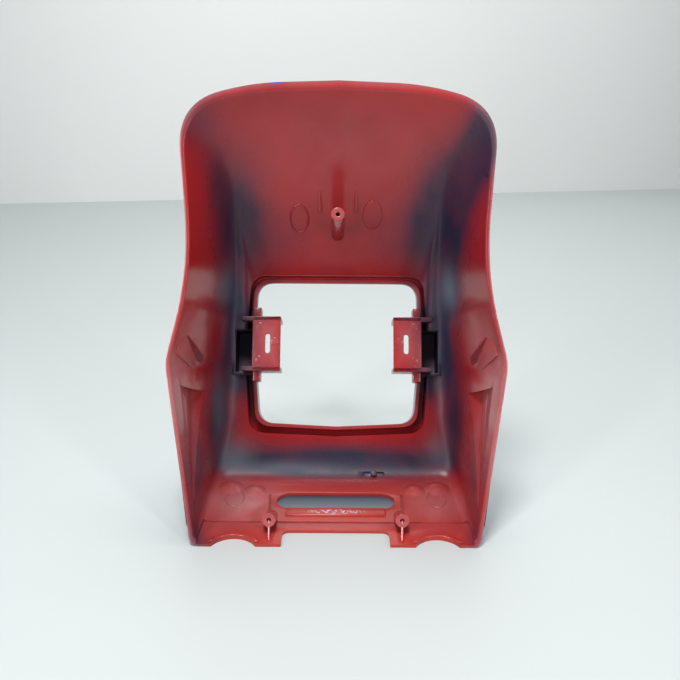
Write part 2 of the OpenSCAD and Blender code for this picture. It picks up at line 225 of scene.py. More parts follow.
@dataclass
class Skin:
    """The fairing's skin: one closed loft from the rim to the lamp flange and back outside."""

    sizes: Sizes = SIZES
    corner_steps: int = 14
    between: int = 4
    fold_steps: int = 14
    edge_steps: int = 3
    wall_steps: int = 12
    front_steps: int = 2
    edge_highlight_width: float = 1.2
    paint_edge: float = 0.4

    def rim(self, t: float) -> Row:
        """Rim outline.

        Args:
            t: How far inside the outer skin it lies.

        Returns:
            Places all the way round.
        """
        s = self.sizes
        slope = math.tan(math.radians(s.rim_lean))
        top = s.height - (s.rim_face if t > 0 else 0.0)
        flat = [(0, top), (58, top - 2), (s.top_half - t, s.height - s.top_drop - t),
                (s.waist_half - t, s.waist_height), (s.hip_half - t, s.hip_height),
                (s.foot_half - t, t), (0, t)]
        return outline([(x, z * slope, z) for x, z in flat],
                       (0, 20, 32, 38, 9, 7, 0), self.corner_steps, self.between)

    def fold(self, t: float) -> Row:
        """Fold line where the walls turn to the front.

        Args:
            t: How far inside the outer skin it lies.

        Returns:
            Places all the way round, with the fold's size as fourth value.
        """
        s = self.sizes
        places = [
            (0, s.hood_depth - t, s.hood_height - t, 34),
            (48, s.hood_depth - t, s.hood_height - t, 34),
            (s.hood_half - t, s.hood_depth + 2 - t, s.hood_height - 6 - t, s.side_fold),
            (s.front_half_waist - t, s.front_y(s.lamp_top) - 8 - t, s.waist_height, s.side_fold),
            (s.front_half_mid - t, s.front_y(s.hip_height) - t, s.hip_height - 6, s.side_fold),
            (s.front_half_low - t, s.floor_depth - t, t, s.floor_fold),
            (0, s.floor_depth - t, t, s.floor_fold)]
        return outline(places, (0, 12, 18, 24, 20, 12, 0), self.corner_steps, self.between)

    def lamp(self, walls: float, channels: float, t: float) -> Row:
        """Outline round the lamp opening.

        Args:
            walls: Walls by which it is larger than the opening.
            channels: Channel widths by which it is larger than the opening.
            t: How far inside the outer skin it lies.

        Returns:
            Places with the channel's depth and return as fourth and fifth value.
        """
        s = self.sizes
        w, d = s.channel_width, s.channel_depth
        top_w, top_d = s.channel_top_width, s.channel_top_depth
        corners = [
            (0, s.lamp_top, 0, 1, top_w, top_d, 1),
            (s.lamp_half * 0.6, s.lamp_top, 0, 1, top_w, top_d, 1),
            (s.lamp_half - 2, s.lamp_top, 1, 1, top_w + 0.3, top_d + 1, 1.5),
            (s.lamp_half, s.lamp_top - 30, 1, 0, w * 0.6, d - 2, d - 3),
            (s.lamp_half, s.lamp_bottom + 40, 1, 0, w, d, d - 1),
            (s.lamp_half - 2.5, s.lamp_bottom, 1, -1, w, d, d - 1),
            (0, s.lamp_bottom - 3, 0, -1, w, d, d - 1)]
        places = []
        for x, z, along, up, width, deep, back in corners:
            grow = walls * s.wall + channels * width
            high = z + grow * up
            places.append((x + grow * along, s.front_y(high) - t, high, deep, back))
        return outline(places, (0, 8, s.lamp_corner, 12, 12, s.lamp_corner, 0),
                       self.corner_steps, self.between)

    def section(self, k: int, rings: dict[str, Row]) -> tuple[Row, list[float], list[float]]:
        """One closed section of the shell.

        Args:
            k: Number of the place around the outline.
            rings: All outlines by name.

        Returns:
            The section's places, and for each how much it belongs to the inner skin and
            how strongly its edge carries the painted highlight.
        """
        s = self.sizes
        draw = s.draw

        def sunk(name: str, extra: float, back: bool) -> Place:
            p = rings[name][k]
            return p[:3] + draw * ((p[4] - p[3]) if back else (-p[3] - extra))

        fold_in, fold_out = rings["fold_in"][k], rings["fold_out"][k]
        inner = rings["lamp_in"][k][:3]
        outer = rings["lamp_out"][k][:3]
        corners: list[tuple[Place, float, int, float]] = [
            (rings["rim_in"][k], 0.9, self.edge_steps, 1.0),
            (fold_in[:3], fold_in[3] - s.wall, self.fold_steps, 1.0),
            (inner, 1.6, self.edge_steps, 1.0),
            (sunk("floor_out", 0, False), 0.9, self.edge_steps, 1.0),
            (sunk("floor_in", 0, False), 0.9, self.edge_steps, 1.0),
            (sunk("floor_in", 0, True), 0.8, self.edge_steps, 1.0),
            (sunk("opening", 0, True), 0.8, self.edge_steps, 1.0),
            (sunk("opening", s.wall, False), 1.0, self.edge_steps, 0.0),
            (sunk("bezel", s.wall, False), 1.6, self.edge_steps, 0.0),
            (outer, 2.4, self.edge_steps, 0.0),
            (fold_out[:3], fold_out[3], self.fold_steps, 0.0),
            (rings["rim_out"][k], 0.9, self.edge_steps, 1.0)]
        row: Row = []
        inside: list[float] = []
        edge_sheen: list[float] = []
        count = len(corners)
        for n, (p, cut, steps, skin) in enumerate(corners):
            before, after = corners[n - 1], corners[(n + 1) % count]
            to_before = float(np.linalg.norm(before[0] - p))
            to_after = float(np.linalg.norm(after[0] - p))
            start = toward(p, before[0], min(cut, to_before * 0.42 if steps == self.edge_steps
                                             else to_before - 4))
            end = toward(p, after[0], min(cut, to_after * 0.42 if steps == self.edge_steps
                                          else to_after * 0.8))
            if n in (Corner.FOLD_INNER, Corner.LAMP_INNER, Corner.FOLD_OUTER, Corner.RIM_OUTER):
                wall = n in (Corner.FOLD_INNER, Corner.RIM_OUTER)
                long_way = self.wall_steps if wall else self.front_steps
                last = row[-1]
                if n == Corner.FOLD_INNER:
                    row.append(toward(last, start, self.edge_highlight_width))
                    inside.append(1.0)
                    edge_sheen.append(0.0)
                for j in range(long_way):
                    row.append(last + (start - last) * (j + 1) / (long_way + 1))
                    inside.append(min(skin, before[3]))
                    edge_sheen.append(0.0)
                if n == Corner.RIM_OUTER:
                    row.append(toward(start, last, self.paint_edge))
                    inside.append(before[3])
                    edge_sheen.append(0.0)
            row += bend(start, p, end, steps)
            inside += [skin] * (steps + 1)
            edge_sheen += [PAINTED_EDGE_HIGHLIGHTS.get(n, 0.0)] * (steps + 1)
        return row, inside, edge_sheen

    def build(self) -> bpy.types.Object:
        """Shapes a ring primitive into the shell.

        Returns:
            The shell's object with an attribute that tells the inner skin from the outer.
        """
        s = self.sizes
        rings = {
            "rim_in": self.rim(s.wall), "rim_out": self.rim(0.0),
            "fold_in": self.fold(s.wall), "fold_out": self.fold(0.0),
            "lamp_in": self.lamp(1, 1, s.wall), "lamp_out": self.lamp(2, 1, 0.0),
            "floor_out": self.lamp(1, 1, s.wall), "floor_in": self.lamp(1, 0, s.wall),
            "opening": self.lamp(0, 0, s.wall), "bezel": self.lamp(2, 1, s.wall)}
        around = len(rings["rim_in"])
        sections = [self.section(k, rings) for k in range(around)]
        deep = len(sections[0][0])
        bpy.ops.object.select_all(action="DESELECT")
        bpy.ops.mesh.primitive_torus_add(major_segments=around, minor_segments=deep,
                                         major_radius=0.1, minor_radius=0.05)
        shell = bpy.context.object
        shell.name = "fairing_shell"
        places = np.array([p[:3] for row, _, _ in sections for p in row])
        places[:, 1] -= s.shift
        shell.data.vertices.foreach_set("co", (places * MM).ravel())
        attribute = shell.data.attributes.new("outside", "FLOAT", "POINT")
        attribute.data.foreach_set("value", [1.0 - v for _, side, _ in sections for v in side])
        # Painted edge highlight strength, later laid into the painted sheen.
        attribute = shell.data.attributes.new("edge", "FLOAT", "POINT")
        attribute.data.foreach_set("value", [v for _, _, amount in sections for v in amount])
        bpy.ops.object.mode_set(mode="EDIT")
        bpy.ops.mesh.select_all(action="SELECT")
        bpy.ops.mesh.normals_make_consistent(inside=False)
        bpy.ops.object.mode_set(mode="OBJECT")
        shell.data.update()
        return shell


# Modelling by hand
def deselect() -> None:
    """Leaves nothing selected."""
    if bpy.context.object and bpy.context.object.mode != "OBJECT":
        bpy.ops.object.mode_set(mode="OBJECT")
    bpy.ops.object.select_all(action="DESELECT")


def settle(obj: bpy.types.Object, name: str, matrix: Matrix | None = None) -> bpy.types.Object:
    """Puts a piece in its place, in metres in the shared frame, with its object at the origin.

    Args:
        obj: The piece, modelled in millimetres.
        name: Its name.
        matrix: Its place in the source's millimetres.

    Returns:
        The same object.
    """
    place = Matrix.Scale(MM, 4) @ Matrix.Translation((0, -SIZES.shift, 0)) @ (matrix or Matrix())
    obj.data.transform(place)
    obj.name = name
    obj.data.update()
    return obj


def active(obj: bpy.types.Object) -> None:
    """Selects only this object and makes it the active one."""
    deselect()
    obj.select_set(True)
    bpy.context.view_layer.objects.active = obj


def apply_modifier(obj: bpy.types.Object, kind: str, **values: object) -> None:
    """Adds a modifier and applies it.

    Args:
        obj: The piece.
        kind: The modifier's kind in Blender's own word.
        values: The modifier's settings.
    """
    active(obj)
    modifier = obj.modifiers.new(kind.lower(), kind)
    for key, value in values.items():
        setattr(modifier, key, value)
    bpy.ops.object.modifier_apply(modifier=modifier.name)


def soften(obj: bpy.types.Object, width: float, segments: int = 3) -> None:
    """Rounds the sharp edges of a piece that is still in millimetres."""
    apply_modifier(obj, "BEVEL", width=width, segments=segments, limit_method="ANGLE",
                   angle_limit=math.radians(35), use_clamp_overlap=True)


def block(size: Sequence[float], centre: Sequence[float]) -> bpy.types.Object:
    """A block in millimetres."""
    deselect()
    bpy.ops.mesh.primitive_cube_add(size=1, location=(0, 0, 0))
    obj = bpy.context.object
    obj.data.transform(Matrix.Translation(centre) @ Matrix.Diagonal((*size, 1)))
    return obj


def rod(radius: float, low: float, high: float, sides: int = 48) -> bpy.types.Object:
    """An upright rod in millimetres.

    Args:
        radius: Its radius.
        low: Height of its lower end.
        high: Height of its upper end.
        sides: Sides of its outline.

    Returns:
        The closed rod.
    """
    deselect()
    bpy.ops.mesh.primitive_cylinder_add(vertices=sides, radius=radius, depth=high - low,
                                        location=(0, 0, 0))
    obj = bpy.context.object
    obj.data.transform(Matrix.Translation((0, 0, (high + low) / 2)))
    return obj


def prism(places: Sequence[tuple[float, float]], x: float, thick: float) -> bpy.types.Object:
    """An upright plate that runs along the body.

    Args:
        places: The plate's outline as y and z in millimetres.
        x: Middle of its thickness.
        thick: Its thickness.

    Returns:
        The closed plate, still in millimetres.
    """
    deselect()
    bpy.ops.mesh.primitive_cylinder_add(vertices=len(places), radius=1, depth=1,
                                        location=(0, 0, 0))
    obj = bpy.context.object
    for k, (y, z) in enumerate(places):
        for n, side in enumerate((-0.5, 0.5)):
            obj.data.vertices[2 * k + n].co = (x + side * thick, y, z)
    face_out(obj)
    return obj


def face_out(obj: bpy.types.Object) -> None:
    """Turns all faces of a closed piece outward."""
    active(obj)
    bpy.ops.object.mode_set(mode="EDIT")
    bpy.ops.mesh.select_all(action="SELECT")
    bpy.ops.mesh.normals_make_consistent(inside=False)
    bpy.ops.object.mode_set(mode="OBJECT")


def hollow(obj: bpy.types.Object, rim: float, depth: float) -> None:
    """Insets the piece's top face and sinks it.

    Args:
        obj: A rod or block in millimetres, before it is placed.
        rim: Width left standing round the hollow.
        depth: Depth of the hollow.
    """
    active(obj)
    for polygon in obj.data.polygons:
        polygon.select = polygon.normal.z > 0.9
    for item in (*obj.data.vertices, *obj.data.edges):
        item.select = False
    bpy.ops.object.mode_set(mode="EDIT")
    bpy.ops.mesh.select_mode(type="FACE")
    bpy.ops.mesh.inset(thickness=rim, depth=0)
    bpy.ops.mesh.extrude_region_move(TRANSFORM_OT_translate={"value": (0, 0, -depth)})
    bpy.ops.mesh.select_mode(type="VERT")
    bpy.ops.object.mode_set(mode="OBJECT")


def join(pieces: Sequence[bpy.types.Object]) -> bpy.types.Object:
    """Joins pieces.

    Args:
        pieces: The pieces, each in its place.

    Returns:
        The first piece, which now holds them all.
    """
    deselect()
    for piece in pieces:
        piece.select_set(True)
    bpy.context.view_layer.objects.active = pieces[0]
    if len(pieces) > 1:
        bpy.ops.object.join()
    return pieces[0]


def cut(target: bpy.types.Object, cutter: bpy.types.Object) -> None:
    """Takes the cutter's shape out of the target."""
    apply_modifier(target, "BOOLEAN", operation="DIFFERENCE", object=cutter, solver="EXACT")
    bpy.data.objects.remove(cutter, do_unlink=True)


def soften_cuts(obj: bpy.types.Object) -> None:
    """Rounds the sharp edges that cuts left on a piece in its place."""
    apply_modifier(obj, "BEVEL", width=0.35 * MM, segments=2, limit_method="ANGLE",
                   angle_limit=math.radians(48), use_clamp_overlap=True)


def smooth(obj: bpy.types.Object, angle: float = 32.0) -> None:
    """Shades a piece smooth, with its sharp edges kept."""
    active(obj)
    bpy.ops.object.shade_smooth_by_angle(angle=math.radians(angle))


def at_draw(x: float, y: float, z: float) -> Matrix:
    """Place whose local +Z is the draw direction."""
    return (Matrix.Translation((x, y, z))
            @ Matrix.Rotation(math.radians(90 - SIZES.draw_tilt), 4, "X"))


def on_hood(x: float, z: float) -> Matrix:
    """Place on the inner skin of the hood whose local +Z points into the hollow."""
    return (Matrix.Translation((x, SIZES.hood_y(z), z))
            @ Matrix.Rotation(math.radians(90) + math.atan(SIZES.hood_slope), 4, "X"))


def on_floor_fold(x: float) -> Matrix:
    """Place in the fold between floor and front wall, with local +Z into the hollow."""
    return (Matrix.Translation((x, SIZES.floor_depth - 6.5, 6.5))
            @ Matrix.Rotation(math.radians(45), 4, "X"))


def beside_lamp(side: int) -> Matrix:
    """Place of the deep pocket beside a bracket, with local +Z in the draw direction."""
    s = SIZES
    reach = s.lamp_half + s.wall + s.tub_gap + s.tub_width / 2
    return at_draw(side * reach, s.bracket_depth, s.bracket_rise)


# Finishes
@dataclass(frozen=True)
class Patch:
    """A soft patch on the skin: middle and reach in source millimetres."""

    x: float
    y: float
    z: float
    rx: float
    ry: float
    rz: float
    strength: float

    def weight(self, p: np.ndarray) -> np.ndarray:
        """How strongly the patch covers each place."""
        d = ((p[:, 0] - self.x) / self.rx) ** 2 + ((p[:, 1] - self.y) / self.ry) ** 2 \
            + ((p[:, 2] - self.z) / self.rz) ** 2
        return self.strength * np.exp(-d)


class Graph:
    """Short words for building a material's nodes."""

    def __init__(self, name: str) -> None:
        """Starts an empty material."""
        self.material = bpy.data.materials.new(name)
        self.material.use_nodes = True
        self.tree = self.material.node_tree
        self.tree.nodes.clear()
        self.output = self.tree.nodes.new("ShaderNodeOutputMaterial")

    def node(self, kind: str, **values: object) -> bpy.types.Node:
        """Adds a node and sets its properties or input defaults."""
        node = self.tree.nodes.new(kind)
        for key, value in values.items():
            if key in node.inputs.keys():
                node.inputs[key].default_value = value
            elif key.replace("_", " ").title() in node.inputs.keys():
                node.inputs[key.replace("_", " ").title()].default_value = value
            else:
                setattr(node, key, value)
        return node

    def link(self, source: bpy.types.NodeSocket, target: bpy.types.NodeSocket) -> None:
        """Joins two sockets."""
        self.tree.links.new(source, target)

    def noise(self, scale: float, detail: float = 3.0, rough: float = 0.5,
              distort: float = 0.0) -> bpy.types.NodeSocket:
        """A noise value on object coordinates.

        Args:
            scale: How fine the noise is.
            detail: How many finer layers it has.
            rough: Strength of the finer layers.
            distort: How much it is stirred.

        Returns:
            The value's socket.
        """
        coordinates = self.node("ShaderNodeTexCoord")
        node = self.node("ShaderNodeTexNoise", Scale=scale, Detail=detail, Roughness=rough,
                         Distortion=distort)
        self.link(coordinates.outputs["Object"], node.inputs["Vector"])
        return node.outputs["Fac"]

    def remap(self, value: bpy.types.NodeSocket, low: float, high: float, to_low: float = 0.0,
              to_high: float = 1.0) -> bpy.types.NodeSocket:
        """Stretches a value from one range to another, clamped.

        Args:
            value: The value's socket.
            low: Start of the old range.
            high: End of the old range.
            to_low: Start of the new range.
            to_high: End of the new range.

        Returns:
            The new value's socket.
        """
        node = self.node("ShaderNodeMapRange")
        node.inputs["From Min"].default_value = low
        node.inputs["From Max"].default_value = high
        node.inputs["To Min"].default_value = to_low
        node.inputs["To Max"].default_value = to_high
        self.link(value, node.inputs["Value"])
        return node.outputs["Result"]

    def math(self, operation: str, a: bpy.types.NodeSocket,
             b: bpy.types.NodeSocket | float) -> bpy.types.NodeSocket:
        """A sum, product or other result of two values.

        Args:
            operation: Blender's own word for the sum.
            a: First value's socket.
            b: Second value, a socket or a plain number.

        Returns:
            The result's socket.
        """
        node = self.node("ShaderNodeMath", operation=operation)
        node.use_clamp = operation != "SUBTRACT"
        self.link(a, node.inputs[0])
        if isinstance(b, float):
            node.inputs[1].default_value = b
        else:
            self.link(b, node.inputs[1])
        return node.outputs[0]

    def mix(self, factor: bpy.types.NodeSocket, a: object, b: object) -> bpy.types.NodeSocket:
        """Mixes two colours.

        Args:
            factor: Share of the second colour.
            a: First colour, a socket or a plain colour.
            b: Second colour, a socket or a plain colour.

        Returns:
            The mixed colour's socket.
        """
        node = self.node("ShaderNodeMix", data_type="RGBA")
        self.link(factor, node.inputs[0])
        for socket, value in ((node.inputs[6], a), (node.inputs[7], b)):
            if isinstance(value, tuple):
                socket.default_value = (*value, 1.0)
            else:
                self.link(value, socket)
        return node.outputs[2]

    def spot(self, patch: Patch) -> bpy.types.NodeSocket:
        """A mark of its own on object coordinates, with a soft edge.

        Args:
            patch: Where it lies and how strong it is.

        Returns:
            The patch's strength inside it, and nothing outside.
        """
        place = self.node("ShaderNodeTexCoord")
        away = self.node("ShaderNodeVectorMath", operation="SUBTRACT")
        self.link(place.outputs["Object"], away.inputs[0])
        away.inputs[1].default_value = (patch.x * MM, (patch.y - SIZES.shift) * MM, patch.z * MM)
        share = self.node("ShaderNodeVectorMath", operation="DIVIDE")
        self.link(away.outputs[0], share.inputs[0])
        share.inputs[1].default_value = (patch.rx * MM, patch.ry * MM, patch.rz * MM)
        length = self.node("ShaderNodeVectorMath", operation="LENGTH")
        self.link(share.outputs[0], length.inputs[0])
        return self.remap(length.outputs["Value"], 0.6, 1.0, patch.strength, 0.0)

    def attribute(self, name: str) -> bpy.types.NodeSocket:
        """A value stored on the piece."""
        return self.node("ShaderNodeAttribute", attribute_name=name).outputs["Fac"]


@dataclass(frozen=True)
class MouldedPlastic:
    """Red moulded plastic with blue overspray inside and blue paint outside, with painted shade,
    sheen, reflections and a painted brighter floor laid over it.
    """

    red: tuple[float, float, float] = (0.37, 0.016, 0.016)
    deep_red: tuple[float, float, float] = (0.25, 0.008, 0.012)
    overspray_and_shade: tuple[float, float, float] = (0.008, 0.012, 0.036)
    paint: tuple[float, float, float] = (0.03, 0.07, 0.25)
    chalk: tuple[float, float, float] = (0.55, 0.55, 0.58)
    painted_floor_light: tuple[float, float, float] = (0.42, 0.042, 0.032)
    painted_sheen: tuple[float, float, float] = (0.42, 0.19, 0.20)
    painted_reflection: tuple[float, float, float] = (0.10, 0.13, 0.17)
    blob: tuple[float, float, float] = (0.03, 0.10, 0.42)
    glossy: float = 0.13
    satin: float = 0.24
    overspray_and_shade_roughness: float = 0.30
    painted_reflection_roughness: float = 0.25
    specular: float = 0.42

    def build(self) -> bpy.types.Material:
        """Makes the material."""
        g = Graph("moulded_plastic")
        cloud = g.remap(g.noise(9.0, 3.0), 0.35, 0.68)
        base = g.mix(cloud, self.deep_red, self.red)
        streak = g.remap(g.noise(60.0, 4.0, 0.6), 0.35, 0.75, 0.0, 0.35)
        base = g.mix(streak, base, self.red)
        speckle = g.remap(g.noise(900.0, 2.0, 0.6), 0.35, 0.65, 0.9, 1.06)
        # Painted light: the floor made a brighter, warmer red where the top light falls.
        base = g.mix(g.attribute("painted_floor_light"), base, self.painted_floor_light)
        blotch = g.remap(g.noise(26.0, 2.0, 0.5), 0.25, 0.75, 0.86, 1.06)
        # Blue overspray, darkened into painted shade in the deep pockets beside the brackets.
        overspray_and_shade = g.math("MULTIPLY", g.math("MULTIPLY", g.attribute("overspray_and_shade"), speckle), blotch)
        base = g.mix(overspray_and_shade, base, self.overspray_and_shade)
        # Painted sheen: pinkish-grey highlights standing for reflected light on hips, floor, posts
        # and hood.
        sheen_share = g.math("MULTIPLY", g.attribute("painted_sheen"),
                      g.remap(g.noise(48.0, 4.0, 0.62), 0.3, 0.72, 0.55, 1.0))
        base = g.mix(sheen_share, base, self.painted_sheen)
        # Painted blue-grey reflections in the folds.
        base = g.mix(g.math("MULTIPLY", g.attribute("painted_reflection"), speckle), base, self.painted_reflection)
        chalk = g.math("MULTIPLY", g.spot(CHALK),
                       g.remap(g.noise(420.0, 4.0, 0.7), 0.47, 0.60))
        base = g.mix(chalk, base, self.chalk)
        base = g.mix(g.spot(BLOB), base, self.blob)
        # Painted shade: a small dark spot where a small pit is; no pit is modelled.
        base = g.mix(g.spot(PAINTED_PIT_SHADE), base, self.overspray_and_shade)
        painted = g.attribute("paint")
        base = g.mix(painted, base, self.paint)
        shader = g.node("ShaderNodeBsdfPrincipled")
        g.link(base, shader.inputs["Base Color"])
        rough = g.remap(g.noise(22.0, 4.0, 0.6), 0.3, 0.7, self.glossy, self.satin)
        amount = g.math("ADD", rough, g.math("MULTIPLY", overspray_and_shade, self.overspray_and_shade_roughness))
        amount = g.math("ADD", amount, g.math("MULTIPLY", g.attribute("painted_reflection"), self.painted_reflection_roughness))
        g.link(amount, shader.inputs["Roughness"])
        shader.inputs["Specular IOR Level"].default_value = self.specular
        shader.inputs["IOR"].default_value = 1.5
        fine = g.node("ShaderNodeBump", Strength=0.05, Distance=0.0004)
        g.link(g.noise(700.0, 3.0, 0.6), fine.inputs["Height"])
        wave = g.node("ShaderNodeBump", Strength=0.12, Distance=0.004)
        g.link(g.noise(24.0, 2.0, 0.5), wave.inputs["Height"])
        g.link(fine.outputs["Normal"], wave.inputs["Normal"])
        g.link(wave.outputs["Normal"], shader.inputs["Normal"])
        g.link(shader.outputs[0], g.output.inputs["Surface"])
        return g.material


@dataclass(frozen=True)
class StageFinish:
    """Plain pale finish of the table or the wall, with an optional painted shadow."""

    name: str
    colour: tuple[float, float, float]
    rough: float
    shade: Patch | None = None
    shade_colour: tuple[float, float, float] = (0.02, 0.055, 0.085)

    def shadow(self, g: Graph, patch: Patch) -> bpy.types.NodeSocket:
        """Shade under the part's floor.

        Args:
            g: The material's graph.
            patch: Where the shade lies.

        Returns:
            How deep each place lies in the shade.
        """
        place = g.node("ShaderNodeTexCoord")
        split = g.node("ShaderNodeSeparateXYZ")
        g.link(place.outputs["Object"], split.inputs[0])
        middle = (patch.y - SIZES.shift) * MM
        along = g.remap(split.outputs["Y"], middle - patch.ry * MM, middle + patch.ry * MM,
                        0.55, 1.0)
        inside = g.math("LESS_THAN", g.math("ABSOLUTE", split.outputs["X"], 0.0), patch.rx * MM)
        behind = g.math("GREATER_THAN", split.outputs["Y"], middle - patch.ry * MM)
        before = g.math("LESS_THAN", split.outputs["Y"], middle + patch.ry * MM * 1.6)
        return g.math("MULTIPLY", g.math("MULTIPLY", along, inside),
                      g.math("MULTIPLY", behind, before))

    def build(self) -> bpy.types.Material:
        """Makes the material."""
        g = Graph(self.name)
        shader = g.node("ShaderNodeBsdfPrincipled")
        light = tuple(min(1.0, c * 1.03) for c in self.colour)
        base = g.mix(g.remap(g.noise(1.6, 3.0), 0.3, 0.7), self.colour, light)
        if self.shade:
            base = g.mix(self.shadow(g, self.shade), base, self.shade_colour)
        g.link(base, shader.inputs["Base Color"])
        shader.inputs["Roughness"].default_value = self.rough
        g.link(shader.outputs[0], g.output.inputs["Surface"])
        return g.material


@dataclass
class Dresser:
    """Stores the overspray, paint, painted shade, sheen, reflection and floor light values on a
    piece, gives it its finish and frame.
    """

    material: bpy.types.Material
    overspray_and_shade_patches: list[Patch] = field(default_factory=list)
    painted_reflection_patches: list[Patch] = field(default_factory=list)
    painted_floor_light_patches: list[Patch] = field(default_factory=list)
    painted_sheen_patches: list[Patch] = field(default_factory=list)

    def dress(self, obj: bpy.types.Object) -> None:
        """Finishes a piece that stands in its place."""
        mesh = obj.data
        count = len(mesh.vertices)
        flat = np.empty(count * 3)
        mesh.vertices.foreach_get("co", flat)
        p = flat.reshape(-1, 3) / MM
        p[:, 1] += SIZES.shift
        outside, edge = np.zeros(count), np.zeros(count)
        for name, store in (("outside", outside), ("edge", edge)):
            if name in mesh.attributes:
                mesh.attributes[name].data.foreach_get("value", store)
        bare = np.zeros(count)
        # Besides overspray and paint, these layers hold painted shade, painted reflections, a
        # painted brighter floor and painted sheen with the edge highlights.
        layers = {"overspray_and_shade": (self.overspray_and_shade_patches, bare), "painted_reflection": (self.painted_reflection_patches, bare),
                  "painted_floor_light": (self.painted_floor_light_patches, bare), "painted_sheen": (self.painted_sheen_patches, edge * EDGE_HIGHLIGHT_SHARE),
                  "paint": ([], outside)}
        for name, (patches, start) in layers.items():
            value = np.clip(sum((q.weight(p) for q in patches), start), 0, 1)
            attribute = mesh.attributes.get(name) or mesh.attributes.new(name, "FLOAT", "POINT")
            attribute.data.foreach_set("value", value.astype(np.float32))
        mesh.materials.clear()
        mesh.materials.append(self.material)
        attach(obj, "root")
        LOG.info("%s: %d faces", obj.name, len(mesh.polygons))


# Sub-assemblies
@dataclass
class Shell:
    """The loft with all that is cut out of it."""

    notch_spacing: float = 146.0
    notch_radius: float = 18.0
    notch_behind: float = 8.5
    slot_length: float = 92.0
    slot_width: float = 23.0
    slot_middle: float = 57.0
    recess_half: float = 39.0
    recess_depth: float = 17.5
    pocket_depth: float = 7.0
    pocket_low: float = 16.0
    pocket_top: float = 108.0
    pocket_front: float = 88.0
    pocket_edge: float = 0.8
    step_high: float = 1.3

    def wedge(self, side: int, grow: float, out: float, inward: float) -> bpy.types.Object:
        """The side pocket's form: a wedge between a ledge and a point near the foot.

        Args:
            side: -1 for left, 1 for right.
            grow: How much larger than the pocket's mouth the form is.
            out: How far outside the inner skin its rim lies.
            inward: How far inside the inner skin its point lies.

        Returns:
            The closed form, still in millimetres.
        """
        s = SIZES
        shift = np.array([side * out, 0, 0])
        places = [s.side_place(side, 0.1 - grow / 60, self.pocket_low - grow) + shift,
                  s.side_place(side, 0.13 - grow / 60, self.pocket_top + grow) + shift,
                  s.side_place(side, 0.55 + grow / 60, self.pocket_front + grow) + shift,
                  s.side_place(side, 0.22, 62) - np.array([side * inward, 0, 0]),
                  s.side_place(side, 0.45, self.pocket_front + 4) + shift
                  + np.array([side * (self.pocket_depth - self.pocket_edge), 0, 0])]
        deselect()
        bpy.ops.mesh.primitive_cone_add(vertices=3, radius1=1, depth=1, end_fill_type="TRIFAN",
                                        location=(0, 0, 0))
        obj = bpy.context.object
        apex = max(range(5), key=lambda k: obj.data.vertices[k].co.z)
        rest = [k for k in range(5) if k != apex]
        centre = min(rest, key=lambda k: obj.data.vertices[k].co.xy.length)
        ring = [k for k in rest if k != centre]
        for k, p in zip((*ring, centre, apex), places):
            obj.data.vertices[k].co = p
        face_out(obj)
        return obj

    def cutters(self) -> list[bpy.types.Object]:
        """All forms that are cut out of the shell."""
        tools: list[bpy.types.Object] = []
        s = SIZES
        for side in (-1, 1):
            notch = rod(self.notch_radius, -1, 9, 96)
            tools.append(settle(notch, "notch", Matrix.Translation(
                (side * self.notch_spacing / 2, -self.notch_behind, 0))))
            pocket = block((s.tub_width, s.tub_height, s.tub_deep - 4),
                           (0, s.tub_shift, -s.tub_deep / 2 - 2))
            tools.append(settle(pocket, "pocket", beside_lamp(side)))
            tools.append(settle(self.wedge(side, 0, self.pocket_edge, 24), "wedge"))
        middle = (self.slot_length - self.slot_width) / 2
        slot = block((2 * middle + self.slot_width, self.slot_width, 8),
                     (0, self.slot_middle, 2))
        tools.append(settle(self.rounded(slot, self.slot_width / 2 - 0.05), "slot"))
        recess = block((2 * self.recess_half, 2 * self.recess_depth, 12), (0, 0, 3))
        tools.append(settle(self.rounded(recess, 5), "recess"))
        tools.append(settle(block((2 * s.foot_half - 9, 29, 3), (0, 13.5, s.wall + 0.6)), "step"))
        for end in (-1, 1):
            slit = self.rounded(block((7.5, 4, 2.8), (end * 5.2, 0, 0)), 1.9)
            tools.append(settle(slit, "slit", on_floor_fold(SLIT_SIDE)))
        return tools

    def rounded(self, obj: bpy.types.Object, radius: float) -> bpy.types.Object:
        """Rounds a block's upright edges."""
        active(obj)
        bpy.ops.object.mode_set(mode="EDIT")
        bpy.ops.mesh.select_mode(type="EDGE")
        bpy.ops.mesh.select_all(action="DESELECT")
        bpy.ops.object.mode_set(mode="OBJECT")
        for edge in obj.data.edges:
            a, b = (obj.data.vertices[k].co for k in edge.vertices)
            edge.select = (a - b).normalized().z ** 2 > 0.9
        bpy.ops.object.mode_set(mode="EDIT")
        bpy.ops.mesh.bevel(offset=radius, segments=14, affect="EDGES")
        bpy.ops.mesh.select_mode(type="VERT")
        bpy.ops.object.mode_set(mode="OBJECT")
        return obj

    def hip_step(self, side: int) -> bpy.types.Object:
        """The low step that runs forward and down from a hip."""
        s = SIZES
        rows = ((0.07, s.hip_height + 4, -1.0), (0.07, s.hip_height + 4, self.step_high),
                (0.14, s.hip_height + 20, -1.0), (0.84, s.hip_height - 50, -1.6),
                (0.84, s.hip_height - 50, -0.7), (0.84, s.hip_height - 34, -1.6))
        places = [s.side_place(side, share, z) - np.array([side * away, 0, 0])
                  for share, z, away in rows]
        deselect()
        bpy.ops.mesh.primitive_cylinder_add(vertices=3, radius=1, depth=1, location=(0, 0, 0))
        obj = bpy.context.object
        for k in range(3):
            obj.data.vertices[2 * k].co = places[k]
            obj.data.vertices[2 * k + 1].co = places[k + 3]
        face_out(obj)
        soften(obj, 0.5, 3)
        return settle(obj, f"hip_step_{Side(side).word}")

